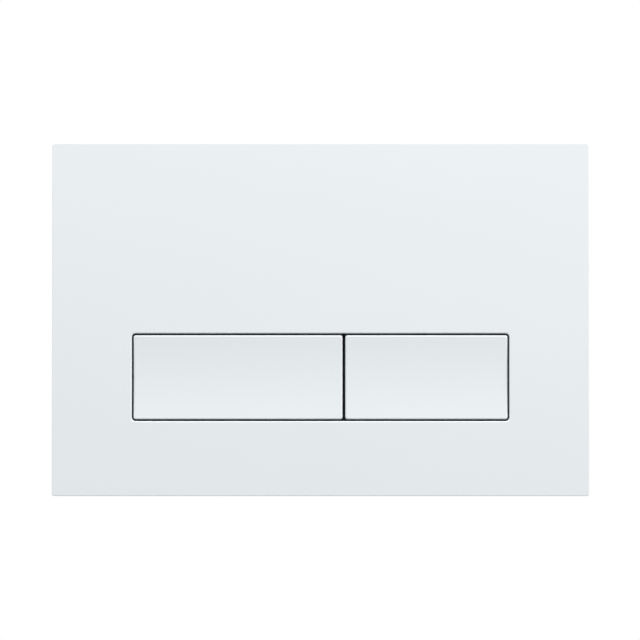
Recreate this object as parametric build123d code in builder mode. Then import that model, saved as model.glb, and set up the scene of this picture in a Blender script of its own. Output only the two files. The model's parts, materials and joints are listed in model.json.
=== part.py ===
from build123d import *
import os
from math import asin, atan2, ceil, cos, hypot, pi, radians, sin

# Dual flush plate for a cistern hidden in the wall, in millimetres.
# The wall is the plane y = 0, and the origin lies in it behind the middle of the plate.
# +X is right, +Z is up and +Y goes into the wall, so the buttons face -Y.
# A level is a distance out of the wall: a point at level 12 lies at y = -12.

# Front plate, one white moulding
plate_width = 246.0
plate_height = 161.5
plate_depth = 12.0
plate_face = 2.4
plate_skirt = 2.2
plate_corner = 1.2
plate_edge = 0.3
plate_rib_height = 1.2
plate_rib_pitch = 34.0
plate_rib_count = 4
opening_margin = 34.2
opening_corner = 1.8
opening_edge = 0.4
collar_wall = 1.4
boss_side = 6.4
boss_height = 4.2

# Snap hooks that hold the plate on the mounting frame
hook_width = 12.0
hook_wall = 1.6
hook_length = 6.2
hook_barb = 1.3
hook_nose = 0.8
hook_catch = 2.4
hook_spacing = 140.0
hook_clearance = 0.3
catch_clearance = 0.2

# Buttons, two white caps with hollowed faces
full_width = 95.6
half_width = 74.2
button_height = 38.4
button_depth = 6.0
button_face = 2.2
button_wall = 1.6
button_corner = 1.0
button_edge = 0.6
button_dish = 0.7
button_rib_cells = 5
button_rib_height = 1.4
rib_width = 1.2
rim_gap = 0.9
split_gap = 1.4

# Button levers, the dark plates that carry the caps and catch behind the front plate's collar
lever_plate = 1.6
lever_rim_wall = 1.2
lever_rim_gap = 0.3
lever_rim_clearance = 0.1
lever_rise = 0.4
lever_split = 0.5
stop_clearance = 0.25

# Hinges along the top of the levers
press_angle = 8.0
hinge_rise = 1.8
hinge_depth = 1.5
axle_radius = 1.5
axle_end_play = 0.2
running_clearance = 0.05
seat_clearance = 0.02
eye_sides = 8
lug_width = 6.0
lug_wall = 1.6
lug_inset = 10.0
lug_root = 9.0
lug_thickness = 3.4
ear_width = 2.6
ear_stop = 1.2
ear_wall = 1.8
ear_foot = 5.0
ear_play = 0.3
snap_neck = 2.6

# Button carrier, the dark tub behind the buttons
carrier_wall = 2.0
tub_clearance = 1.6
flange_width = 8.0
press_clearance = 2.0
guide_radius = 5.0
guide_sides = 16
guide_length = 10.0
guide_clearance = 0.15
guide_gusset = 6.0
gusset_count = 4

# Screws that hold the carrier on the plate
screw_radius = 1.45
screw_head_radius = 2.8
screw_head_height = 1.8
screw_bite = 3.4
screw_pitch = 160.0
screw_sides = 12
thread_clearance = 0.05
screw_hole_clearance = 0.25

# Push rods and their adjusting heads
rod_spacing = 48.0
rod_reach = 30.0
rod_radius = 3.0
rod_length = 66.0
spigot_radius = 2.6
spigot_length = 38.0
head_radius = 4.5
head_sides = 12
head_height = 3.2
head_cover = 1.0
rod_gap = 0.25

# Return springs wound round the hinge axles
spring_play = 1.05
spring_wire = 0.9
wire_sides = 6
spring_pitch = 1.15
spring_turns = 3
spring_steps = 14
spring_leg = 14.0
spring_rest = 0.1
spring_slot = 2.4

# Rubber buffers stuck to the carrier under the lower edges of the levers
buffer_width = 10.0
buffer_height = 6.0
buffer_inset = 26.0
buffer_clearance = 0.2

# Mounting frame that stays on the wall
frame_gap = 5.8
frame_recess = 0.3
frame_face = 3.0
frame_corner = 3.0
frame_ring = 11.0
upstand_wall = 1.8
upstand_clearance = 0.4
window_clearance = 2.0
window_corner = 3.0
crossbar_height = 26.0
crossbar_lip = 1.6
crossbar_lip_height = 2.2

# Fixing studs and their thumb nuts
stud_spacing = 164.0
stud_radius = 4.0
stud_length = 48.0
stud_neck_radius = 3.0
stud_hole_clearance = 0.2
stud_end_clearance = 0.6
nut_radius = 10.0
nut_groove = 1.2
nut_ridges = 12
nut_clearance = 1.2

wall = Plane.XZ

# Levels out of the wall that the pieces share
plate_back = plate_depth - plate_face
tray_rear = plate_depth - button_depth
lever_rear = tray_rear - lever_plate
collar_rear = tray_rear + stop_clearance
face_back = plate_depth - button_dish - button_face
axle_level = tray_rear - hinge_depth
boss_end = plate_back - boss_height
flange_rear = boss_end - carrier_wall
hook_end = plate_back - hook_length
catch_level = hook_end + hook_catch
slot_front = catch_level + catch_clearance
upstand_top = plate_back - plate_rib_height - upstand_clearance
frame_front = frame_recess + frame_face
head_top = lever_rear - rod_gap
nut_top = plate_back - nut_clearance
stud_front = plate_back - stud_end_clearance

# Opening and buttons in the plane of the plate
opening_width = full_width + split_gap + half_width + 2 * rim_gap
opening_height = button_height + 2 * rim_gap
opening_bottom = opening_margin - plate_height / 2
opening_top = opening_bottom + opening_height
opening_middle = (opening_bottom + opening_top) / 2
button_bottom = opening_bottom + rim_gap
button_top = button_bottom + button_height
full_left = rim_gap - opening_width / 2
full_middle = full_left + full_width / 2
half_right = opening_width / 2 - rim_gap
half_middle = half_right - half_width / 2
dish_radius = (button_height**2 / 4 + button_dish**2) / (2 * button_dish)
lever_reach = rim_gap + collar_wall
lever_top = opening_top + lever_rise
lever_inner = (split_gap - lever_split) / 2
lever_rim_height = face_back - button_rib_height - lever_rim_gap - tray_rear

# Hinge line, and where the pressed levers reach
axle_height = opening_top + collar_wall + hinge_rise + axle_radius
lug_radius = axle_radius + running_clearance + lug_wall
ear_radius = axle_radius + seat_clearance + ear_wall


def pressed_level(height, level):
    """Level that a point of a lever comes to when its button is pressed home."""
    swing = radians(press_angle)
    return axle_level + (level - axle_level) * cos(swing) - (axle_height - height) * sin(swing)


pressed_edge = pressed_level(button_bottom - lever_reach, lever_rear)
floor_front = pressed_edge - press_clearance
floor_rear = floor_front - carrier_wall
buffer_top = pressed_edge - buffer_clearance

# Tub of the carrier, its screws and the rods
tub_half = opening_width / 2 + collar_wall + tub_clearance
tub_bottom = opening_bottom - collar_wall - tub_clearance
tub_top = axle_height + ear_radius + tub_clearance
carrier_half = tub_half + carrier_wall
carrier_bottom = tub_bottom - carrier_wall - flange_width
carrier_top = tub_top + carrier_wall + flange_width
screw_rows = carrier_top - carrier_bottom - flange_width
screw_middle = (carrier_top + carrier_bottom) / 2
rod_height = axle_height - rod_reach
rod_places = [(-rod_spacing / 2, rod_height), (rod_spacing / 2, rod_height)]

# Mounting frame, its windows and its studs
frame_width = plate_width - 2 * (plate_skirt + frame_gap)
frame_height = plate_height - 2 * (plate_skirt + frame_gap)
window_half = carrier_half + window_clearance
window_bottom = carrier_bottom - window_clearance
window_top = carrier_top + window_clearance
crossbar_top = window_top + crossbar_height
stud_height = (window_top + crossbar_top) / 2
stud_places = [(-stud_spacing / 2, stud_height), (stud_spacing / 2, stud_height)]
upper_window_top = frame_height / 2 - frame_ring
upper_window_height = upper_window_top - crossbar_top
upper_window_corner = min(window_corner, upper_window_height / 3)


def side(height, level):
    """Point of a section looking along X, from its height and its level out of the wall."""
    return (-level, height)


def span(left, right, bottom, top, mode=Mode.ADD):
    """Rectangle in the plane of the plate between four edges."""
    with Locations(((left + right) / 2, (bottom + top) / 2)):
        Rectangle(right - left, top - bottom, mode=mode)


def hook_seat(x, height, out_x, out_z):
    """Plane across an edge of the mounting frame: its x goes out of the frame, its y out of the wall."""
    return Plane(origin=(x, 0, height), x_dir=(out_x, 0, out_z), z_dir=(out_z, 0, -out_x))


hook_seats = [hook_seat(x, out * frame_height / 2, 0, out)
              for x in (-hook_spacing / 2, hook_spacing / 2) for out in (-1, 1)]
hook_seats += [hook_seat(out * frame_width / 2, 0, out, 0) for out in (-1, 1)]


spring_radius = axle_radius + spring_play + spring_wire / 2


def spring_lean(reach):
    """Angle that takes a leg's end the given distance away from the axle's own level."""
    arm = hypot(spring_radius, spring_leg)
    return asin(reach / arm) - atan2(spring_radius, spring_leg)


# The front leg of a spring lifts the button, and the rear leg stands on the carrier's floor
front_lean = spring_lean(face_back - spring_rest - spring_wire / 2 - axle_level)
rear_lean = spring_lean(axle_level - floor_front - spring_rest - spring_wire / 2)
spring_sweep = 2 * pi * spring_turns + pi - front_lean - rear_lean
spring_length = spring_pitch * spring_sweep / (2 * pi)

os.makedirs("parts", exist_ok=True)

# Front plate: a shallow tray with a collar round the button opening
with BuildPart() as front_plate:
    with BuildSketch(wall):
        RectangleRounded(plate_width, plate_height, plate_corner)
    extrude(amount=plate_depth)
    fillet(front_plate.faces().sort_by(Axis.Y)[0].edges(), plate_edge)
    with BuildSketch(wall):
        Rectangle(plate_width - 2 * plate_skirt, plate_height - 2 * plate_skirt)
    extrude(amount=plate_back, mode=Mode.SUBTRACT)
    with BuildSketch(wall.offset(collar_rear)):
        with Locations((0, opening_middle)):
            RectangleRounded(opening_width + 2 * collar_wall, opening_height + 2 * collar_wall,
                             opening_corner + collar_wall)
    extrude(amount=plate_back - collar_rear)
    # Low ribs behind the blank upper field
    with BuildSketch(wall.offset(plate_back - plate_rib_height)):
        with Locations((0, (window_top + frame_height / 2) / 2)):
            with GridLocations(plate_rib_pitch, 1, plate_rib_count, 1):
                Rectangle(rib_width, frame_height / 2 - window_top)
            with Locations((0, (crossbar_top - stud_height) / 2)):
                Rectangle(stud_spacing, rib_width)
    extrude(amount=plate_rib_height)
    # Screw bosses with blind pilot holes
    with BuildSketch(wall.offset(boss_end)):
        with Locations((0, screw_middle)):
            with GridLocations(screw_pitch, screw_rows, 2, 2):
                Rectangle(boss_side, boss_side)
    extrude(amount=boss_height)
    with BuildSketch(wall.offset(boss_end)):
        with Locations((0, screw_middle)):
            with GridLocations(screw_pitch, screw_rows, 2, 2):
                Circle(screw_radius + thread_clearance)
    extrude(amount=boss_height, mode=Mode.SUBTRACT)
    # Snap hooks: a finger with a barb that catches behind the frame's lip
    for seat in hook_seats:
        with BuildSketch(seat):
            with BuildLine():
                Polyline((hook_clearance + hook_wall, plate_back), (hook_clearance + hook_wall, hook_end),
                         (hook_clearance, hook_end), (hook_clearance - hook_barb, catch_level - hook_nose),
                         (hook_clearance - hook_barb, catch_level), (hook_clearance, catch_level),
                         (hook_clearance, plate_back), close=True)
            make_face()
        extrude(amount=hook_width / 2, both=True)
    # Opening for the buttons, and the notches that let the springs' front legs through its collar
    with BuildSketch(wall.offset(collar_rear)):
        with Locations((0, opening_middle)):
            RectangleRounded(opening_width, opening_height, opening_corner)
    extrude(amount=plate_depth - collar_rear, mode=Mode.SUBTRACT)
    with BuildSketch(wall.offset(collar_rear)):
        with Locations((full_middle, opening_top), (half_middle, opening_top)):
            Rectangle(spring_slot, 2 * collar_wall)
    extrude(amount=plate_back - collar_rear, mode=Mode.SUBTRACT)
    chamfer(front_plate.faces().sort_by(Axis.Y)[0].inner_wires()[0].edges(), opening_edge)
front_plate.part.label = "front_plate"
export_step(front_plate.part, "parts/front_plate.step")


def flush_button(name, middle, width):
    """White cap with a hollowed face, a shallow tray behind it and ribs that stiffen the face."""
    with BuildPart() as button:
        with BuildSketch(wall.offset(tray_rear)):
            with Locations((middle, opening_middle)):
                RectangleRounded(width, button_height, button_corner)
        extrude(amount=button_depth + button_dish)
        with BuildSketch(Plane.YZ.offset(middle)):
            with Locations(side(opening_middle, plate_depth - button_dish + dish_radius)):
                Circle(dish_radius)
        extrude(amount=width, both=True, mode=Mode.SUBTRACT)
        fillet(button.faces().sort_by(Axis.Y)[0].edges(), button_edge)
        with BuildSketch(wall.offset(tray_rear)):
            with Locations((middle, opening_middle)):
                Rectangle(width - 2 * button_wall, button_height - 2 * button_wall)
        extrude(amount=face_back - tray_rear, mode=Mode.SUBTRACT)
        with BuildSketch(wall.offset(face_back - button_rib_height)):
            with Locations((middle, opening_middle)):
                with GridLocations(width / button_rib_cells, 1, button_rib_cells - 1, 1):
                    Rectangle(rib_width, button_height - button_wall)
                Rectangle(width - button_wall, rib_width)
        extrude(amount=button_rib_height)
        # Slot in the top wall for the spring's front leg
        with BuildSketch(wall.offset(tray_rear)):
            with Locations((middle, button_top)):
                Rectangle(spring_slot, 3 * button_wall)
        extrude(amount=face_back - tray_rear, mode=Mode.SUBTRACT)
    button.part.label = name
    export_step(button.part, f"parts/{name}.step")


def button_lever(name, left, right, middle, width):
    """Dark plate behind a cap and wider all round, with a rim inside the cap and two hinge lugs."""
    rim_width = width - 2 * (button_wall + lever_rim_clearance)
    rim_height = button_height - 2 * (button_wall + lever_rim_clearance)
    with BuildPart() as lever:
        with BuildSketch(wall.offset(lever_rear)):
            span(left, right, button_bottom - lever_reach, lever_top)
        extrude(amount=lever_plate)
        with BuildSketch(wall.offset(tray_rear)):
            with Locations((middle, opening_middle)):
                Rectangle(rim_width, rim_height)
                Rectangle(rim_width - 2 * lever_rim_wall, rim_height - 2 * lever_rim_wall,
                          mode=Mode.SUBTRACT)
        extrude(amount=lever_rim_height)
        # Hinge lugs: an eye on an arm that thins out down the back of the plate
        for lug_left in (middle - width / 2 + lug_inset, middle + width / 2 - lug_inset - lug_width):
            with BuildSketch(Plane.YZ.offset(lug_left)):
                with BuildLine():
                    Polyline(side(axle_height, tray_rear - lug_thickness),
                             side(button_top - lug_root, lever_rear),
                             side(button_top - lug_root, tray_rear),
                             side(axle_height, tray_rear), close=True)
                make_face()
                with Locations(side(axle_height, axle_level)):
                    RegularPolygon(lug_radius, eye_sides, major_radius=False, rotation=180 / eye_sides)
                    Circle(axle_radius + running_clearance, mode=Mode.SUBTRACT)
            extrude(amount=lug_width)
    lever.part.label = name
    export_step(lever.part, f"parts/{name}.step")


flush_button("full_flush_button", full_middle, full_width)
flush_button("half_flush_button", half_middle, half_width)
button_lever("full_button_lever", full_left - lever_reach, full_left + full_width + lever_inner,
             full_middle, full_width)
button_lever("half_button_lever", half_right - half_width - lever_inner, half_right + lever_reach,
             half_middle, half_width)


def axle_span(middle, width):
    """Left and right ends of the bored seats that hold one button's axle."""
    reach = width / 2 - lug_inset + ear_play + ear_width
    return middle - reach, middle + reach


# Button carrier: a tub with a flange above and below, ears for the axles and guides for the rods
with BuildPart() as button_carrier:
    with BuildSketch(wall.offset(flange_rear)):
        span(-carrier_half, carrier_half, carrier_bottom, carrier_top)
    extrude(amount=carrier_wall)
    with BuildSketch(wall.offset(floor_rear)):
        span(-carrier_half, carrier_half, tub_bottom - carrier_wall, tub_top + carrier_wall)
    extrude(amount=boss_end - floor_rear)
    with BuildSketch(wall.offset(floor_front)):
        span(-tub_half, tub_half, tub_bottom, tub_top)
    extrude(amount=boss_end - floor_front, mode=Mode.SUBTRACT)
    for seat_left, seat_right in (axle_span(full_middle, full_width), axle_span(half_middle, half_width)):
        for ear_left in (seat_left - ear_stop, seat_right - ear_width):
            with BuildSketch(Plane.YZ.offset(ear_left)):
                with BuildLine():
                    Polyline(side(axle_height - ear_radius - ear_foot, floor_front),
                             side(axle_height - ear_radius, axle_level),
                             side(tub_top, axle_level), side(tub_top, floor_front), close=True)
                make_face()
                with Locations(side(axle_height, axle_level)):
                    RegularPolygon(ear_radius, eye_sides, major_radius=False, rotation=180 / eye_sides)
            extrude(amount=ear_width + ear_stop)
        # Blind seats that the axle snaps into from the front
        with BuildSketch(Plane.YZ.offset(seat_left)):
            with Locations(side(axle_height, axle_level)):
                Circle(axle_radius + seat_clearance)
            with Locations(side(axle_height, axle_level + ear_radius)):
                Rectangle(2 * ear_radius, snap_neck)
        extrude(amount=seat_right - seat_left, mode=Mode.SUBTRACT)
    # Rod guides behind the floor, each stiffened by gussets
    with BuildSketch(wall.offset(floor_rear)):
        with Locations(*rod_places):
            RegularPolygon(guide_radius, guide_sides, major_radius=False)
    extrude(amount=-guide_length)
    for rod_x, rod_z in rod_places:
        for turn in range(gusset_count):
            gusset_plane = Plane(origin=(rod_x, -floor_rear, rod_z), x_dir=(1, 0, 0), z_dir=(0, 0, 1))
            with BuildSketch(gusset_plane.rotated((0, 360 / gusset_count * turn, 0))):
                with BuildLine():
                    Polyline((guide_radius - rib_width, 0), (guide_radius + guide_gusset, 0),
                             (guide_radius - rib_width, guide_gusset), close=True)
                make_face()
            extrude(amount=rib_width / 2, both=True)
    with BuildSketch(wall.offset(floor_front)):
        with Locations(*rod_places):
            Circle(rod_radius + guide_clearance)
    extrude(amount=-carrier_wall - guide_length, mode=Mode.SUBTRACT)
    # Holes for the screws
    with BuildSketch(wall.offset(flange_rear)):
        with Locations((0, screw_middle)):
            with GridLocations(screw_pitch, screw_rows, 2, 2):
                Circle(screw_radius + screw_hole_clearance)
    extrude(amount=carrier_wall, mode=Mode.SUBTRACT)
button_carrier.part.label = "button_carrier"
export_step(button_carrier.part, "parts/button_carrier.step")


def hinge_axle(name, middle, width):
    """Plain steel pin held in the carrier's ears."""
    seat_left, seat_right = axle_span(middle, width)
    with BuildPart() as axle:
        with BuildSketch(Plane.YZ.offset(seat_left + axle_end_play)):
            with Locations(side(axle_height, axle_level)):
                Circle(axle_radius)
        extrude(amount=seat_right - seat_left - 2 * axle_end_play)
    axle.part.label = name
    export_step(axle.part, f"parts/{name}.step")


def return_spring(name, middle):
    """Torsion spring on the axle: its coil ends at the slot in the cap, where the front leg leaves."""
    steps = ceil(spring_steps * spring_sweep / (2 * pi))
    angles = [rear_lean - pi / 2 + spring_sweep * step / steps for step in range(steps + 1)]
    turns = [Vector(middle - spring_length * (1 - step / steps), -axle_level - spring_radius * sin(angle),
                    axle_height + spring_radius * cos(angle)) for step, angle in enumerate(angles)]
    rear_tip = turns[0] - Vector(0, -cos(angles[0]), -sin(angles[0])) * spring_leg
    front_tip = turns[-1] + Vector(0, -cos(angles[-1]), -sin(angles[-1])) * spring_leg
    with BuildPart() as spring:
        with BuildLine() as coil:
            Polyline(rear_tip, *turns, front_tip)
        with BuildSketch(Plane(origin=rear_tip, z_dir=coil.line % 0)):
            RegularPolygon(spring_wire / 2, wire_sides)
        sweep(path=coil.line, transition=Transition.RIGHT)
    spring.part.label = name
    export_step(spring.part, f"parts/{name}.step")


def button_buffers(name, middle, width):
    """Pair of rubber pads on the carrier's floor that the pressed lever lands on."""
    with BuildPart() as buffers:
        with BuildSketch(wall.offset(floor_front)):
            with Locations((middle, button_bottom + button_wall / 2)):
                with GridLocations(width - 2 * buffer_inset, 1, 2, 1):
                    Rectangle(buffer_width, buffer_height)
        extrude(amount=buffer_top - floor_front)
    buffers.part.label = name
    export_step(buffers.part, f"parts/{name}.step")


def push_rod(name, place):
    """Round rod from its head to the flush valve, with a plain thinner spigot at its far end."""
    rod_front = head_top - head_cover
    rod_rear = rod_front - rod_length
    with BuildPart() as rod:
        with BuildSketch(wall.offset(rod_rear + spigot_length)):
            with Locations(place):
                Circle(rod_radius)
        extrude(amount=rod_length - spigot_length)
        with BuildSketch(wall.offset(rod_rear)):
            with Locations(place):
                Circle(spigot_radius)
        extrude(amount=spigot_length)
    rod.part.label = name
    export_step(rod.part, f"parts/{name}.step")


def rod_head(name, place):
    """Cap with flats, screwed on the front of a push rod and turned to set the rod's length."""
    with BuildPart() as head:
        with BuildSketch(wall.offset(head_top - head_height)):
            with Locations(place):
                RegularPolygon(head_radius, head_sides)
        extrude(amount=head_height)
        with BuildSketch(wall.offset(head_top - head_height)):
            with Locations(place):
                Circle(rod_radius + thread_clearance)
        extrude(amount=head_height - head_cover, mode=Mode.SUBTRACT)
    head.part.label = name
    export_step(head.part, f"parts/{name}.step")


for title, middle, width, place in (("full", full_middle, full_width, rod_places[0]),
                                    ("half", half_middle, half_width, rod_places[1])):
    hinge_axle(f"{title}_hinge_axle", middle, width)
    return_spring(f"{title}_return_spring", middle)
    button_buffers(f"{title}_button_buffers", middle, width)
    push_rod(f"{title}_push_rod", place)
    rod_head(f"{title}_rod_head", place)

# Carrier screws: pan heads behind the flange, shanks in the plate's bosses
with BuildPart() as carrier_screws:
    with BuildSketch(wall.offset(flange_rear - screw_head_height)):
        with Locations((0, screw_middle)):
            with GridLocations(screw_pitch, screw_rows, 2, 2):
                RegularPolygon(screw_head_radius, screw_sides)
    extrude(amount=screw_head_height)
    with BuildSketch(wall.offset(flange_rear)):
        with Locations((0, screw_middle)):
            with GridLocations(screw_pitch, screw_rows, 2, 2):
                RegularPolygon(screw_radius, screw_sides)
    extrude(amount=carrier_wall + screw_bite)
carrier_screws.part.label = "carrier_screws"
export_step(carrier_screws.part, "parts/carrier_screws.step")

# Mounting frame: a flat ring with a crossbar, and an upstand that the hooks snap over
with BuildPart() as mounting_frame:
    with BuildSketch(wall.offset(frame_recess)):
        RectangleRounded(frame_width, frame_height, frame_corner)
        with Locations((0, (window_bottom + window_top) / 2)):
            RectangleRounded(2 * window_half, window_top - window_bottom, window_corner, mode=Mode.SUBTRACT)
        with Locations((0, (crossbar_top + upper_window_top) / 2)):
            RectangleRounded(2 * window_half, upper_window_height, upper_window_corner, mode=Mode.SUBTRACT)
    extrude(amount=frame_face)
    with BuildSketch(wall.offset(frame_recess)):
        RectangleRounded(frame_width, frame_height, frame_corner)
        RectangleRounded(frame_width - 2 * upstand_wall, frame_height - 2 * upstand_wall,
                         frame_corner - upstand_wall, mode=Mode.SUBTRACT)
    extrude(amount=upstand_top - frame_recess)
    # Lips along both edges of the crossbar
    with BuildSketch(wall.offset(frame_front)):
        span(-window_half, window_half, window_top, window_top + crossbar_lip)
        span(-window_half, window_half, crossbar_top - crossbar_lip, crossbar_top)
    extrude(amount=crossbar_lip_height)
    # Holes for the studs, and slots that the hooks' barbs catch in
    with BuildSketch(wall.offset(frame_recess)):
        with Locations(*stud_places):
            Circle(stud_neck_radius + stud_hole_clearance)
    extrude(amount=frame_face, mode=Mode.SUBTRACT)
    for seat in hook_seats:
        with BuildSketch(seat):
            span(-2 * upstand_wall, upstand_wall, hook_end - catch_clearance, slot_front)
        extrude(amount=hook_width / 2 + hook_clearance, both=True, mode=Mode.SUBTRACT)
mounting_frame.part.label = "mounting_frame"
export_step(mounting_frame.part, "parts/mounting_frame.step")


def fixing_stud(name, place):
    """Threaded stud from the cistern: its shoulder stops behind the frame and its neck takes the nut."""
    with BuildPart() as stud:
        with BuildSketch(wall.offset(-stud_length)):
            with Locations(place):
                Circle(stud_radius)
        extrude(amount=stud_length + frame_recess)
        with BuildSketch(wall.offset(frame_recess)):
            with Locations(place):
                Circle(stud_neck_radius)
        extrude(amount=stud_front - frame_recess)
    stud.part.label = name
    export_step(stud.part, f"parts/{name}.step")


def thumb_nut(name, place):
    """Nut with a ridged grip, tightened by hand."""
    corners = [(place[0] + (nut_radius - nut_groove * (step % 2)) * cos(pi * step / nut_ridges),
                place[1] + (nut_radius - nut_groove * (step % 2)) * sin(pi * step / nut_ridges))
               for step in range(2 * nut_ridges)]
    with BuildPart() as nut:
        with BuildSketch(wall.offset(frame_front)):
            with BuildLine():
                Polyline(*corners, close=True)
            make_face()
            with Locations(place):
                Circle(stud_neck_radius + thread_clearance, mode=Mode.SUBTRACT)
        extrude(amount=nut_top - frame_front)
    nut.part.label = name
    export_step(nut.part, f"parts/{name}.step")


for title, place in (("left", stud_places[0]), ("right", stud_places[1])):
    fixing_stud(f"{title}_fixing_stud", place)
    thumb_nut(f"{title}_thumb_nut", place)
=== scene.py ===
import json
from math import asin, atan2, ceil, cos, hypot, pi, radians, sin

import bmesh
import bpy
from mathutils import Matrix, Vector


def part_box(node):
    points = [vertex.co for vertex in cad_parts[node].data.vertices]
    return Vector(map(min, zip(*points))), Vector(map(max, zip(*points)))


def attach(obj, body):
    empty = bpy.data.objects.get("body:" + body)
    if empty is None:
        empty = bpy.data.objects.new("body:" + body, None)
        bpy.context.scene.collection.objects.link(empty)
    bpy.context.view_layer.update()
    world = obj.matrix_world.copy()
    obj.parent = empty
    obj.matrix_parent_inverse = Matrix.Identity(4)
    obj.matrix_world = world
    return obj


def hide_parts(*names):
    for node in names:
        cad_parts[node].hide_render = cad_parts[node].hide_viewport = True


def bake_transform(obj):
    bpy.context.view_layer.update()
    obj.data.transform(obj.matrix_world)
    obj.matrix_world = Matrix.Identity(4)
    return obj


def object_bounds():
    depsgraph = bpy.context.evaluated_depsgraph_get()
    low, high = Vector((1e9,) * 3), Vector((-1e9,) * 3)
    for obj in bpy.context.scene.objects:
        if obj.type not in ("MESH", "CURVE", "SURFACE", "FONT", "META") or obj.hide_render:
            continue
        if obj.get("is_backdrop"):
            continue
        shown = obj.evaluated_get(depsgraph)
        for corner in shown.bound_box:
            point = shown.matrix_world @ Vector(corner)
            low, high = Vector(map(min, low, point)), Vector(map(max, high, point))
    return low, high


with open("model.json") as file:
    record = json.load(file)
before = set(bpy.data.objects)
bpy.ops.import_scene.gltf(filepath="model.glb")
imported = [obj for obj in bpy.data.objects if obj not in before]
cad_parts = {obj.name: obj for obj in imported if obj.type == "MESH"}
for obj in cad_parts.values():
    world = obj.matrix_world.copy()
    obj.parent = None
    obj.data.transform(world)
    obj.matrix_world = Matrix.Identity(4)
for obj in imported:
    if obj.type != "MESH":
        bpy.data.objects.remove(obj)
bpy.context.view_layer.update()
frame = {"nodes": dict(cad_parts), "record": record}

# Fixing studs: two nylon rods that screw into the cistern's service frame behind the wall.
# Each is moulded in one piece, with a coarse thread behind a shoulder and a finer thread on the
# thinner neck that carries the mounting frame and its nut.
STUD_PITCH = 0.0015
STUD_THREAD_DEPTH = 0.0007
NECK_RADIUS = 0.003
NECK_PITCH = 0.001
NECK_THREAD_DEPTH = 0.0005
NECK_ROOT = 0.001
THREAD_SIDES = 48
THREAD_LEAD_IN = 1.0
THREAD_FORM = ((0.0, 0.0), (0.2, 0.0), (0.42, 1.0), (0.58, 1.0), (0.8, 0.0))
SAME_PLACE = 1e-7
CREASE_ANGLE = radians(32.0)
NYLON_PALE = (0.78, 0.77, 0.73, 1.0)
NYLON_WARM = (0.70, 0.68, 0.62, 1.0)
NYLON_ROUGHNESS = (0.38, 0.54)


class Shade:
    """One output in a node tree: an operator on it adds a Math node, and add() makes any other node."""

    def __init__(self, tree, output=None):
        self.tree = tree
        self.output = output

    def add(self, kind, settings, sockets, output=0):
        """Makes a node with these settings, fills its sockets with values or links, and gives one output."""
        node = self.tree.nodes.new("ShaderNode" + kind)
        for name, value in settings.items():
            setattr(node, name, value)
        for name, value in sockets.items():
            if isinstance(value, Shade):
                self.tree.links.new(value.output, node.inputs[name])
            else:
                node.inputs[name].default_value = value
        return Shade(self.tree, node.outputs[output] if node.outputs else None)

    def calculate(self, operation, first, second):
        return self.add("Math", {"operation": operation}, {0: first, 1: second})

    def __add__(self, other):
        return self.calculate("ADD", self, other)

    def __sub__(self, other):
        return self.calculate("SUBTRACT", self, other)

    def __rsub__(self, other):
        return self.calculate("SUBTRACT", other, self)

    def __mul__(self, other):
        return self.calculate("MULTIPLY", self, other)

    __radd__ = __add__
    __rmul__ = __mul__


def new_finish(name):
    """Empty material, with the wrapper of its node tree and the coordinates of the piece it is on."""
    material = bpy.data.materials.new(name)
    material.use_nodes = True
    material.node_tree.nodes.clear()
    shade = Shade(material.node_tree)
    return material, shade, shade.add("TexCoord", {}, {}, "Object")


def noise(shade, place, scale, detail=2.0):
    """Cloudy pattern from 0 to 1, with a feature size of about 1 / scale metres."""
    return shade.add("TexNoise", {}, {"Vector": place, "Scale": scale, "Detail": detail})


def between(shade, share, first, second):
    """Colour between two colours, which are inputs 6 and 7 and output 2 of a Mix node."""
    return shade.add("Mix", {"data_type": "RGBA"}, {0: share, 6: first, 7: second}, 2)


def spread(share, low, high):
    """Number from low to high, as a pattern goes from 0 to 1."""
    return low + (high - low) * share


def relief(shade, height, depth, strength):
    """Normal of a surface with the given pattern raised on it, depth metres high."""
    return shade.add("Bump", {}, {"Strength": strength, "Distance": depth, "Height": height})


def surface(shade, sockets):
    """Ends a material in one shader with these values and links."""
    shader = shade.add("BsdfPrincipled", {}, sockets)
    shade.add("OutputMaterial", {}, {"Surface": shader})


def natural_nylon():
    """Unpainted nylon: a milky white that is a little warmer in places, with a dull moulded skin."""
    material, shade, place = new_finish("natural_nylon")
    cloud = noise(shade, place, scale=140.0, detail=3.0)
    grain = noise(shade, place, scale=4200.0)
    surface(shade, {"Base Color": between(shade, cloud, NYLON_PALE, NYLON_WARM),
                    "Roughness": spread(cloud, *NYLON_ROUGHNESS),
                    "Normal": relief(shade, grain, depth=0.00002, strength=0.5)})
    return material


def made_object(name, shape, material, crease=CREASE_ANGLE):
    """Object from a finished shape, smooth in the light but for edges that turn by more than an angle."""
    mesh = bpy.data.meshes.new(name)
    bmesh.ops.recalc_face_normals(shape, faces=shape.faces)
    shape.to_mesh(mesh)
    shape.free()
    mesh.shade_smooth()
    mesh.set_sharp_from_angle(angle=crease)
    mesh.materials.append(material)
    made = bpy.data.objects.new(name, mesh)
    bpy.context.scene.collection.objects.link(made)
    return made


def piece(name, shape, material, body, node):
    """Object that rides on a body and stands for one of its CAD nodes."""
    made = made_object(name, shape, material)
    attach(made, body)
    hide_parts(node)
    return made


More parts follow.
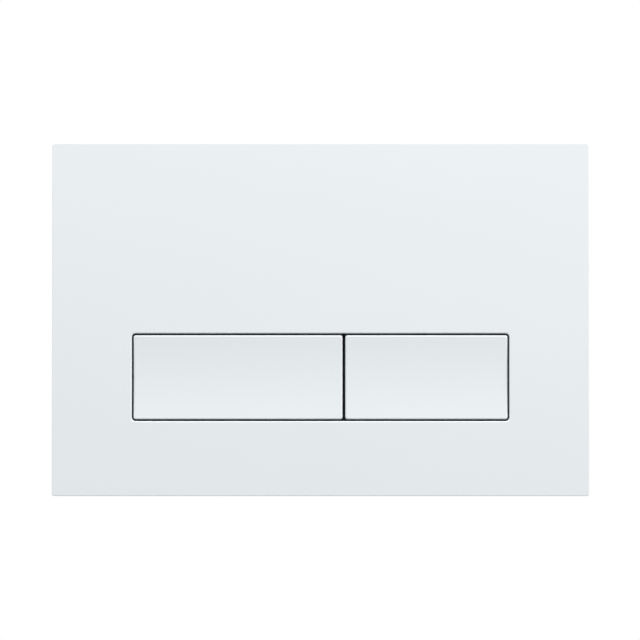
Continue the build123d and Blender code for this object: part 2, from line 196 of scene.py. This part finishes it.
def add_thread(shape, x, z, start, end, radius, depth, pitch):
    """Screw thread about an axis along Y: rows that climb one pitch in each turn, cut off at both ends."""
    core = radius - depth
    turns = ceil((end - start) / pitch)
    rows = []
    for turn in range(-1, turns + 2):
        for share, height in THREAD_FORM:
            row = []
            for side in range(THREAD_SIDES):
                y = start + pitch * (turn + share + side / THREAD_SIDES)
                y = min(max(y, start), end)
                lead_in = core + THREAD_LEAD_IN * min(y - start, end - y)
                reach = min(core + depth * height, lead_in)
                angle = 2 * pi * side / THREAD_SIDES
                row.append(shape.verts.new((x + reach * cos(angle), y, z + reach * sin(angle))))
            rows.append(row)
    climb = len(THREAD_FORM)
    for low in range(len(rows) - 1):
        high = low + 1
        for side in range(THREAD_SIDES - 1):
            shape.faces.new((rows[low][side], rows[low][side + 1], rows[high][side + 1], rows[high][side]))
        if high + climb < len(rows):
            shape.faces.new((rows[low][-1], rows[low + climb][0], rows[high + climb][0], rows[high][-1]))
    bmesh.ops.remove_doubles(shape, verts=shape.verts, dist=SAME_PLACE)
    bmesh.ops.holes_fill(shape, edges=[edge for edge in shape.edges if edge.is_boundary], sides=0)


nylon = natural_nylon()
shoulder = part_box("mounting_frame")[1].y
for hand in ("left", "right"):
    low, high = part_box(f"{hand}_fixing_stud")
    middle = (low + high) / 2
    stud_radius = (high.x - low.x) / 2
    stud_shape = bmesh.new()
    add_thread(stud_shape, middle.x, middle.z, shoulder, high.y,
               stud_radius, STUD_THREAD_DEPTH, STUD_PITCH)
    add_thread(stud_shape, middle.x, middle.z, low.y, shoulder + NECK_ROOT,
               NECK_RADIUS, NECK_THREAD_DEPTH, NECK_PITCH)
    piece(f"{hand}_threaded_stud", stud_shape, nylon, "plate", f"{hand}_fixing_stud")

# Mounting frame: the flat ring that stays on the wall when the plate is lifted off.
# It is moulded in grey plastic with an upstand round its edge, and hangs on the two studs.
FRAME_EDGE = 0.0003
FRAME_SHORTEST = 0.001
EDGE_STEPS = 2
ROUND_PROFILE = 0.5
FLAT_ANGLE = radians(1.0)
SHARP_ANGLE = radians(25.0)
GREY_LIGHT = (0.36, 0.38, 0.40, 1.0)
GREY_DARK = (0.29, 0.31, 0.33, 1.0)
GREY_ROUGHNESS = (0.46, 0.60)


def grey_moulding():
    """Grey recycled plastic: faint flow clouds and a fine eroded texture."""
    material, shade, place = new_finish("grey_moulding")
    flow = noise(shade, place, scale=26.0, detail=4.0)
    grain = noise(shade, place, scale=2600.0, detail=3.0)
    surface(shade, {"Base Color": between(shade, flow, GREY_DARK, GREY_LIGHT),
                    "Roughness": spread(flow, *GREY_ROUGHNESS),
                    "Normal": relief(shade, grain, depth=0.00004, strength=0.5)})
    return material


def softened_piece(name, node, material, body, edge, shortest=0.0, steps=EDGE_STEPS):
    """Piece with a CAD node's shape and rounded edges, but for edges shorter than the given length.

    Its flat faces stay flat in the light, up to the rounded edges.
    """
    shape = bmesh.new()
    shape.from_mesh(frame["nodes"][node].data)
    bmesh.ops.remove_doubles(shape, verts=shape.verts, dist=SAME_PLACE)
    bmesh.ops.dissolve_limit(shape, angle_limit=FLAT_ANGLE, verts=shape.verts, edges=shape.edges)
    sharp = [side for side in shape.edges
             if side.calc_face_angle() > SHARP_ANGLE and side.calc_length() > shortest]
    bmesh.ops.bevel(shape, geom=sharp, offset=edge, offset_type="OFFSET", segments=steps,
                    profile=ROUND_PROFILE, affect="EDGES", clamp_overlap=False)
    bmesh.ops.remove_doubles(shape, verts=shape.verts, dist=SAME_PLACE)
    made = piece(name, shape, material, body, node)
    made.modifiers.new("level_shading", "WEIGHTED_NORMAL").keep_sharp = True


grey = grey_moulding()
softened_piece("wall_frame", "mounting_frame", grey, "plate", FRAME_EDGE, FRAME_SHORTEST)

# Thumb nuts: two nuts with a scalloped grip, moulded in the same grey plastic as the frame.
# They are run down on the studs' necks by hand, and clamp the frame against the studs' shoulders.
NUT_SCALLOPS = 12
NUT_STEPS = 10
NUT_WAVE = 0.0006
NUT_EDGE = 0.0005
NUT_HUB = 0.0058
NUT_DISH = 0.0006
NUT_BORE = 0.00305
NUT_BORE_EDGE = 0.0004
EDGE_MIDDLE = 1 / 3


def around(sides):
    """Angles of evenly spaced corners round a circle."""
    return [2 * pi * side / sides for side in range(sides)]


def bridge(shape, rings):
    """Faces from each ring of corners to the next."""
    for ring, following in zip(rings, rings[1:]):
        for corner in range(len(ring)):
            after = (corner + 1) % len(ring)
            shape.faces.new((ring[corner], ring[after], following[after], following[corner]))


def add_nut(shape, x, z, front, rear, radius):
    """Nut about an axis along Y: rings round its section, with the outer ones following the scallops."""
    mean = radius - NUT_WAVE
    bevel = EDGE_MIDDLE * NUT_EDGE
    mouth = NUT_BORE + NUT_BORE_EDGE
    dish = front + NUT_DISH
    section = [(rear, mouth, 0.0), (rear, mean - NUT_EDGE, 1.0),
               (rear - bevel, mean - bevel, 1.0), (rear - NUT_EDGE, mean, 1.0),
               (front + NUT_EDGE, mean, 1.0), (front + bevel, mean - bevel, 1.0),
               (front, mean - NUT_EDGE, 1.0), (front, NUT_HUB, 0.0),
               (dish, NUT_HUB - NUT_DISH, 0.0), (dish, mouth, 0.0),
               (dish + NUT_BORE_EDGE, NUT_BORE, 0.0), (rear - NUT_BORE_EDGE, NUT_BORE, 0.0)]
    rings = []
    for y, reach, wave in section:
        ring = []
        for angle in around(NUT_SCALLOPS * NUT_STEPS):
            out = reach + wave * NUT_WAVE * cos(NUT_SCALLOPS * angle)
            ring.append(shape.verts.new((x + out * cos(angle), y, z + out * sin(angle))))
        rings.append(ring)
    bridge(shape, rings + rings[:1])


for hand in ("left", "right"):
    low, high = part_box(f"{hand}_thumb_nut")
    middle = (low + high) / 2
    nut_shape = bmesh.new()
    add_nut(nut_shape, middle.x, middle.z, low.y, high.y, (high.x - low.x) / 2)
    piece(f"{hand}_scalloped_nut", nut_shape, grey, "plate", f"{hand}_thumb_nut")

# Front plate and buttons: three white mouldings in the same satin plastic.
# The plate is a shallow tray that snaps over the mounting frame, and the hollowed buttons fill its opening.
WHITE_COOL = (0.765, 0.804, 0.828, 1.0)
WHITE_WARM = (0.783, 0.818, 0.834, 1.0)
WHITE_ROUGHNESS = (0.28, 0.34)


def white_moulding():
    """White plastic with a satin skin: hardly any change of tone, and a moulded face's faint waviness."""
    material, shade, place = new_finish("white_moulding")
    cloud = noise(shade, place, scale=14.0, detail=3.0)
    wave = noise(shade, place, scale=60.0)
    grain = noise(shade, place, scale=3000.0)
    skin = relief(shade, wave, depth=0.00003, strength=0.5)
    satin = shade.add("Bump", {}, {"Strength": 0.35, "Distance": 0.00001, "Height": grain, "Normal": skin})
    surface(shade, {"Base Color": between(shade, cloud, WHITE_COOL, WHITE_WARM),
                    "Roughness": spread(wave, *WHITE_ROUGHNESS),
                    "Normal": satin})
    return material


white = white_moulding()
for node in ("front_plate", "full_flush_button", "half_flush_button"):
    moulding = frame["nodes"][node]
    moulding.data.materials.clear()
    moulding.data.materials.append(white)

# Button levers: two black mouldings behind the white caps, with hinge lugs along their top edge.
# Each cap is pressed on over its lever's rim. The lever reaches past the cap all round, which makes
# the gaps round the buttons dark.
LEVER_EDGE = 0.0003
LEVER_SHORTEST = 0.003
BLACK_DEEP = (0.112, 0.116, 0.118, 1.0)
BLACK_WORN = (0.136, 0.140, 0.142, 1.0)
BLACK_ROUGHNESS = (0.50, 0.66)


def black_moulding():
    """Black plastic with an eroded matt skin that has gone a little grey in places."""
    material, shade, place = new_finish("black_moulding")
    flow = noise(shade, place, scale=34.0, detail=4.0)
    grain = noise(shade, place, scale=2400.0, detail=3.0)
    surface(shade, {"Base Color": between(shade, flow, BLACK_DEEP, BLACK_WORN),
                    "Roughness": spread(flow, *BLACK_ROUGHNESS),
                    "Normal": relief(shade, grain, depth=0.00005, strength=0.5)})
    return material


black = black_moulding()
for size in ("full", "half"):
    softened_piece(f"{size}_hinged_lever", f"{size}_button_lever", black, f"{size}_button",
                   LEVER_EDGE, LEVER_SHORTEST)

# Hinge axles: one straight pin through the lugs along the top of each lever.
# They are cut from drawn stainless wire, with broken edges, and snap into the carrier's ears.
AXLE_CHAMFER = 0.0003
ROUND_SIDES = 48
STREAK_STRETCH = (0.04, 1.0, 1.0)
STEEL_BRIGHT = (0.66, 0.66, 0.65, 1.0)
STEEL_DULL = (0.52, 0.52, 0.51, 1.0)
STEEL_ROUGHNESS = (0.28, 0.44)


def drawn_steel():
    """Stainless wire: fine streaks along the wire, left by the drawing die."""
    material, shade, place = new_finish("drawn_steel")
    along = shade.add("VectorMath", {"operation": "MULTIPLY"}, {0: place, 1: STREAK_STRETCH})
    streak = noise(shade, along, scale=5000.0, detail=3.0)
    surface(shade, {"Base Color": between(shade, streak, STEEL_DULL, STEEL_BRIGHT),
                    "Metallic": 1.0,
                    "Roughness": spread(streak, *STEEL_ROUGHNESS),
                    "Normal": relief(shade, streak, depth=0.000008, strength=0.6)})
    return material


def round_rings(shape, outline, point):
    """Rings round an axis, with faces between them, from an outline of (place along the axis, radius).

    The point function turns a place along the axis and two distances across it into a place in the frame.
    """
    rings = [[shape.verts.new(point(along, reach * cos(angle), reach * sin(angle)))
              for angle in around(ROUND_SIDES)] for along, reach in outline]
    bridge(shape, rings)
    return rings


def close_ends(shape, rings):
    """Flat faces over the first ring and the last."""
    shape.faces.new(rings[0])
    shape.faces.new(rings[-1])


def add_turned(shape, outline, point):
    """Turned solid: rings round an axis, closed at both ends."""
    close_ends(shape, round_rings(shape, outline, point))


steel = drawn_steel()
for size in ("full", "half"):
    low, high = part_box(f"{size}_hinge_axle")
    middle = (low + high) / 2
    radius = (high.z - low.z) / 2
    axle_shape = bmesh.new()
    axle_outline = [(low.x, radius - AXLE_CHAMFER), (low.x + AXLE_CHAMFER, radius),
                    (high.x - AXLE_CHAMFER, radius), (high.x, radius - AXLE_CHAMFER)]
    add_turned(axle_shape, axle_outline, lambda along, a, b: (along, middle.y + a, middle.z + b))
    piece(f"{size}_axle_pin", axle_shape, steel, "plate", f"{size}_hinge_axle")

# Return springs: one torsion spring on each axle, wound from round spring wire that is blackened and oiled.
# The coil is slipped over the axle, its front leg pushes the button's cap out and its rear leg stands
# on the carrier's floor.
WIRE_RADIUS = 0.00045
SPRING_RADIUS = 0.003
SPRING_LEG = 0.014
SPRING_TURNS = 3
COIL_STEPS = 40
WIRE_SIDES = 14
AXLE_WAY = Vector((1, 0, 0))
NO_CREASE = pi
WIRE_BLACK = (0.055, 0.055, 0.058, 1.0)
WIRE_GREY = (0.105, 0.104, 0.103, 1.0)
WIRE_ROUGHNESS = (0.42, 0.58)


def blackened_wire():
    """Spring wire with a dark phosphate skin, rubbed a little greyer in places."""
    material, shade, place = new_finish("blackened_wire")
    rubbed = noise(shade, place, scale=900.0, detail=3.0)
    surface(shade, {"Base Color": between(shade, rubbed, WIRE_BLACK, WIRE_GREY),
                    "Metallic": 1.0,
                    "Roughness": spread(rubbed, *WIRE_ROUGHNESS),
                    "Normal": relief(shade, rubbed, depth=0.000006, strength=0.5)})
    return material


def leg_lean(reach):
    """Angle that takes a leg's end the given distance away from the axle's own level."""
    return asin(reach / hypot(SPRING_RADIUS, SPRING_LEG)) - atan2(SPRING_RADIUS, SPRING_LEG)


def spring_line(coil_start, coil_end, axle, front_reach, rear_reach):
    """Points along the wire's middle: rear leg, coil and front leg."""
    first = leg_lean(rear_reach) - pi / 2
    sweep = 2 * pi * SPRING_TURNS + pi - leg_lean(front_reach) - leg_lean(rear_reach)
    steps = ceil(COIL_STEPS * sweep / (2 * pi))
    angles = [first + sweep * step / steps for step in range(steps + 1)]
    coil = [Vector((coil_start + (coil_end - coil_start) * step / steps,
                    axle.y - SPRING_RADIUS * sin(angle),
                    axle.z + SPRING_RADIUS * cos(angle))) for step, angle in enumerate(angles)]
    rear_tip = coil[0] + SPRING_LEG * Vector((0, cos(angles[0]), sin(angles[0])))
    front_tip = coil[-1] - SPRING_LEG * Vector((0, cos(angles[-1]), sin(angles[-1])))
    return [rear_tip, *coil, front_tip]


def add_wire(shape, line):
    """Round wire along a line of points, closed at both ends."""
    rings = []
    for place, point in enumerate(line):
        heading = (line[min(place + 1, len(line) - 1)] - line[max(place - 1, 0)]).normalized()
        across = heading.cross(AXLE_WAY).normalized()
        over = heading.cross(across)
        rings.append([shape.verts.new(point + WIRE_RADIUS * (cos(angle) * across + sin(angle) * over))
                      for angle in around(WIRE_SIDES)])
    bridge(shape, rings)
    close_ends(shape, rings)


dark_wire = blackened_wire()
for size in ("full", "half"):
    low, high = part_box(f"{size}_return_spring")
    axle_low, axle_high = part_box(f"{size}_hinge_axle")
    axle = (axle_low + axle_high) / 2
    coil_start = low.x + WIRE_RADIUS
    coil_end = high.x - WIRE_RADIUS
    spring_shape = bmesh.new()
    add_wire(spring_shape, spring_line(coil_start, coil_end, axle, axle.y - low.y - WIRE_RADIUS,
                                       high.y - axle.y - WIRE_RADIUS))
    spring = made_object(f"{size}_torsion_spring", spring_shape, dark_wire, NO_CREASE)
    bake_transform(spring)
    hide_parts(f"{size}_return_spring")

# Button carrier: the dark tub behind the buttons, with axle ears inside and rod guides behind.
# It is moulded in the same black plastic as the levers and screwed to the plate from behind.
CARRIER_EDGE = 0.0003
CARRIER_SHORTEST = 0.003

softened_piece("button_tub", "button_carrier", black, "plate",
               CARRIER_EDGE, CARRIER_SHORTEST)

# Button buffers: four small rubber pads glued to the carrier's floor under the levers' lower edges.
# They are moulded with rounded edges, and stop a pressed button without a knock.
BUFFER_EDGE = 0.0007
BUFFER_STEPS = 4
RUBBER_BLACK = (0.018, 0.018, 0.019, 1.0)
RUBBER_DUSTY = (0.034, 0.034, 0.035, 1.0)
RUBBER_ROUGHNESS = (0.72, 0.88)


def soft_rubber():
    """Black rubber, dull, with a slight bloom."""
    material, shade, place = new_finish("soft_rubber")
    bloom = noise(shade, place, scale=420.0, detail=4.0)
    grain = noise(shade, place, scale=3800.0)
    surface(shade, {"Base Color": between(shade, bloom, RUBBER_BLACK, RUBBER_DUSTY),
                    "Roughness": spread(bloom, *RUBBER_ROUGHNESS),
                    "Normal": relief(shade, grain, depth=0.00003, strength=0.6)})
    return material


rubber = soft_rubber()
for size in ("full", "half"):
    softened_piece(f"{size}_rubber_pads", f"{size}_button_buffers", rubber, "plate",
                   BUFFER_EDGE, steps=BUFFER_STEPS)

# Carrier screws: four small pan heads that hold the carrier on the plate's bosses from behind.
# They are pressed and rolled from steel, zinc plated, with a cross recess in the head.
HEAD_RADIUS = 0.0028
HEAD_HEIGHT = 0.0018
HEAD_FORM = ((0.0, 0.97), (0.06, 1.0), (0.42, 1.0), (0.66, 0.965), (0.84, 0.88), (0.95, 0.77), (1.0, 0.66))
RECESS_ARMS = 4
RECESS_REACH = 0.00155
RECESS_WIDTH = 0.00072
RECESS_DEPTH = 0.0011
RECESS_TAPER = 0.62
SHANK_RADIUS = 0.00145
SHANK_PITCH = 0.0011
SHANK_THREAD_DEPTH = 0.0003
SHANK_ROOT = 0.0004
ZINC_COOL = (0.60, 0.63, 0.67, 1.0)
ZINC_WARM = (0.66, 0.65, 0.60, 1.0)
ZINC_ROUGHNESS = (0.28, 0.42)


def zinc_plate():
    """Bright zinc on steel, with a faint change from blue to yellow."""
    material, shade, place = new_finish("zinc_plate")
    tint = noise(shade, place, scale=320.0, detail=3.0)
    grain = noise(shade, place, scale=6000.0)
    surface(shade, {"Base Color": between(shade, tint, ZINC_COOL, ZINC_WARM),
                    "Metallic": 1.0,
                    "Roughness": spread(tint, *ZINC_ROUGHNESS),
                    "Normal": relief(shade, grain, depth=0.00001, strength=0.5)})
    return material


def add_cross(shape, x, y, z, share):
    """Corners of the recess's cross at the given share of its size, from the middle of one arm's tip on."""
    reach = share * RECESS_REACH
    half = share * RECESS_WIDTH / 2
    corners = []
    for angle in around(RECESS_ARMS):
        out = Vector((cos(angle), 0, sin(angle)))
        side = Vector((-out.z, 0, out.x))
        corners += [reach * out, reach * out + half * side,
                    half * out + half * side, half * out + reach * side]
    return [shape.verts.new(Vector((x, y, z)) + corner) for corner in corners]


def add_pan_head(shape, x, z, seat, top):
    """Pan head about an axis along Y, rounded over to a flat top with a cross recess pressed into it."""
    outline = [(seat + share * (top - seat), HEAD_RADIUS * reach) for share, reach in HEAD_FORM]
    rings = round_rings(shape, outline, lambda along, a, b: (x + a, along, z + b))
    shape.faces.new(rings[0])
    rim = add_cross(shape, x, top, z, 1.0)
    base = add_cross(shape, x, top - RECESS_DEPTH, z, RECESS_TAPER)
    top_loop = rings[-1] + rings[-1][:1]
    rim_loop = rim + rim[:1]
    top_step = len(rings[-1]) // RECESS_ARMS
    rim_step = len(rim) // RECESS_ARMS
    for arm in range(RECESS_ARMS):
        outer = top_loop[arm * top_step:(arm + 1) * top_step + 1]
        inner = rim_loop[arm * rim_step:(arm + 1) * rim_step + 1]
        shape.faces.new(outer + inner[::-1])
    bridge(shape, [rim, base])
    shape.faces.new(base)


low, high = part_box("carrier_screws")
screw_shape = bmesh.new()
screw_seat = high.y - HEAD_HEIGHT
screw_places = [(x, z) for x in (low.x + HEAD_RADIUS, high.x - HEAD_RADIUS)
                for z in (low.z + HEAD_RADIUS, high.z - HEAD_RADIUS)]
for x, z in screw_places:
    add_thread(screw_shape, x, z, low.y, screw_seat + SHANK_ROOT,
               SHANK_RADIUS, SHANK_THREAD_DEPTH, SHANK_PITCH)
for x, z in screw_places:
    add_pan_head(screw_shape, x, z, screw_seat, high.y)
piece("pan_head_screws", screw_shape, zinc_plate(), "plate", "carrier_screws")

# Push rods and rod heads: two nylon rods from the levers to the flush valve, with a grey cap on each.
# The rods are moulded in one piece, slide in the carrier's guides and end in a thinner spigot.
ROD_EDGE = 0.0004
TIP_EDGE = 0.0007
CAP_EDGE = 0.0004
MILLIMETRE = 0.001

mounts = {mount["name"]: mount for mount in frame["record"]["mounts"]}
for size in ("full", "half"):
    low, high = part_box(f"{size}_push_rod")
    middle = (low + high) / 2
    radius = (high.x - low.x) / 2
    spigot = mounts[f"{size}_rod_tip"]["dims"]
    spigot_radius = spigot["r_mm"] * MILLIMETRE
    step_back = high.y - spigot["length_mm"] * MILLIMETRE
    bevel = EDGE_MIDDLE * TIP_EDGE
    rod_shape = bmesh.new()
    rod_outline = [(low.y, radius - ROD_EDGE), (low.y + ROD_EDGE, radius),
                   (step_back - ROD_EDGE, radius), (step_back, spigot_radius),
                   (high.y - TIP_EDGE, spigot_radius), (high.y - bevel, spigot_radius - bevel),
                   (high.y, spigot_radius - TIP_EDGE)]
    add_turned(rod_shape, rod_outline, lambda along, a, b: (middle.x + a, along, middle.z + b))
    piece(f"{size}_nylon_rod", rod_shape, nylon, f"{size}_rod", f"{size}_push_rod")
    softened_piece(f"{size}_rod_cap", f"{size}_rod_head", grey, f"{size}_rod", CAP_EDGE)

# Floor: a round pale studio floor well below the part, which fades out towards its edge.
# It takes the part's shadow, gives no light back, and is clear when it is looked at from below.
FLOOR_LEVEL = -0.62
FLOOR_RADIUS = 2.4
FLOOR_FADE = 1.2
FLOOR_SIDES = 96
FLOOR_PLANE = (1.0, 1.0, 0.0)
FLOOR_TONES = ((0.60, 0.60, 0.60, 1.0), (0.64, 0.64, 0.64, 1.0))


def ramp(shade, value, band, most):
    """Smooth rise from 0 to the given most, over a band of a value."""
    return shade.add("MapRange", {"interpolation_type": "SMOOTHSTEP"},
                     {"Value": value, "From Min": band[0], "From Max": band[1],
                      "To Min": 0.0, "To Max": most})


floor_shape = bmesh.new()
bmesh.ops.create_circle(floor_shape, cap_ends=True, segments=FLOOR_SIDES, radius=FLOOR_RADIUS,
                        matrix=Matrix.Translation((0.0, 0.0, FLOOR_LEVEL)))
floor_mesh = bpy.data.meshes.new("floor")
floor_shape.to_mesh(floor_mesh)
floor_shape.free()
floor = bpy.data.objects.new("floor", floor_mesh)
bpy.context.scene.collection.objects.link(floor)
floor.visible_diffuse = False
floor.visible_glossy = False
floor_material, shade, place = new_finish("pale_floor")
level = shade.add("VectorMath", {"operation": "MULTIPLY"}, {0: place, 1: FLOOR_PLANE})
reach = shade.add("VectorMath", {"operation": "LENGTH"}, {0: level}, "Value")
fade = 1.0 - ramp(shade, reach, (FLOOR_FADE, FLOOR_RADIUS), 1.0)
underside = shade.add("NewGeometry", {}, {}, "Backfacing")
surface(shade, {"Base Color": between(shade, noise(shade, place, scale=3.0), *FLOOR_TONES),
                "Roughness": 0.8,
                "Specular IOR Level": 0.0,
                "Alpha": fade * (1.0 - underside)})
floor_mesh.materials.append(floor_material)
floor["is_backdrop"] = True

# Light: a studio dome that is a little brighter above than below, and plain white to the camera.
# A large softbox hangs high in front at each side, the right one stronger, and a small one over the camera.
DOME_LOW = 0.555
DOME_HIGH = 0.78
DOME_BAND = (-0.30, 0.45)
DOME_SEEN = (1.0, 1.0, 1.0, 1.0)
RIGHT_PLACE = Vector((1.39, -0.65, 1.29))
RIGHT_POWER = 37.3
LEFT_PLACE = Vector((-1.39, -0.65, 1.29))
LEFT_POWER = 19.3
SIDE_SIZE = 0.8
FRONT_PLACE = Vector((0.0, -0.866, 0.5))
FRONT_POWER = 1.0
FRONT_SIZE = 0.25


def stand(name, data, place, heading):
    """Puts a light or the camera at a place, looking along a heading."""
    made = bpy.data.objects.new(name, data)
    made.location = place
    made.rotation_mode = "QUATERNION"
    made.rotation_quaternion = heading.to_track_quat("-Z", "Y")
    bpy.context.scene.collection.objects.link(made)
    return made


def add_softbox(name, place, size, power):
    """Square area light that faces the middle of the part."""
    light = bpy.data.lights.new(name, "AREA")
    light.shape = "SQUARE"
    light.size = size
    light.energy = power
    stand(name, light, place, -place)


world = bpy.data.worlds.new("studio")
world.use_nodes = True
world.node_tree.nodes.clear()
bpy.context.scene.world = world
shade = Shade(world.node_tree)
heading = shade.add("TexCoord", {}, {}, "Generated")
rise = shade.add("SeparateXYZ", {}, {0: heading}, "Z")
dome = DOME_LOW + ramp(shade, rise, DOME_BAND, DOME_HIGH - DOME_LOW)
lit = shade.add("Background", {}, {"Strength": dome})
seen = shade.add("Background", {}, {"Color": DOME_SEEN})
direct = shade.add("LightPath", {}, {}, "Is Camera Ray")
shown = shade.add("MixShader", {}, {0: direct, 1: lit, 2: seen})
shade.add("OutputWorld", {}, {"Surface": shown})

add_softbox("right_softbox", RIGHT_PLACE, SIDE_SIZE, RIGHT_POWER)
add_softbox("left_softbox", LEFT_PLACE, SIDE_SIZE, LEFT_POWER)
add_softbox("front_softbox", FRONT_PLACE, FRONT_SIZE, FRONT_POWER)

# Camera: almost square on to the plate, from a little below its middle.
# Its lens is set so that the plate is as wide in the picture as it is in the photograph.
CAMERA_DISTANCE = 1.0
CAMERA_ELEVATION = radians(-0.8)
SENSOR_WIDTH = 36.0
IMAGE_SIDE = 640
PLATE_PIXELS = 537.2
FRAMING_RIGHT = 0.55
FRAMING_UP = 0.5

back = Vector((0.0, -cos(CAMERA_ELEVATION), sin(CAMERA_ELEVATION)))
plate_low, plate_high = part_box("front_plate")
target = Vector((0.0, plate_low.y, (plate_low.z + plate_high.z) / 2))
view_width = (plate_high.x - plate_low.x) * IMAGE_SIDE / PLATE_PIXELS
camera_data = bpy.data.cameras.new("camera")
camera_data.sensor_width = SENSOR_WIDTH
camera_data.lens = SENSOR_WIDTH * CAMERA_DISTANCE / view_width
camera_data.shift_x = -FRAMING_RIGHT / IMAGE_SIDE
camera_data.shift_y = -FRAMING_UP / IMAGE_SIDE
bpy.context.scene.camera = stand("camera", camera_data, target + CAMERA_DISTANCE * back, -back)
bpy.context.scene.view_settings.view_transform = "Standard"

low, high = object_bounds()
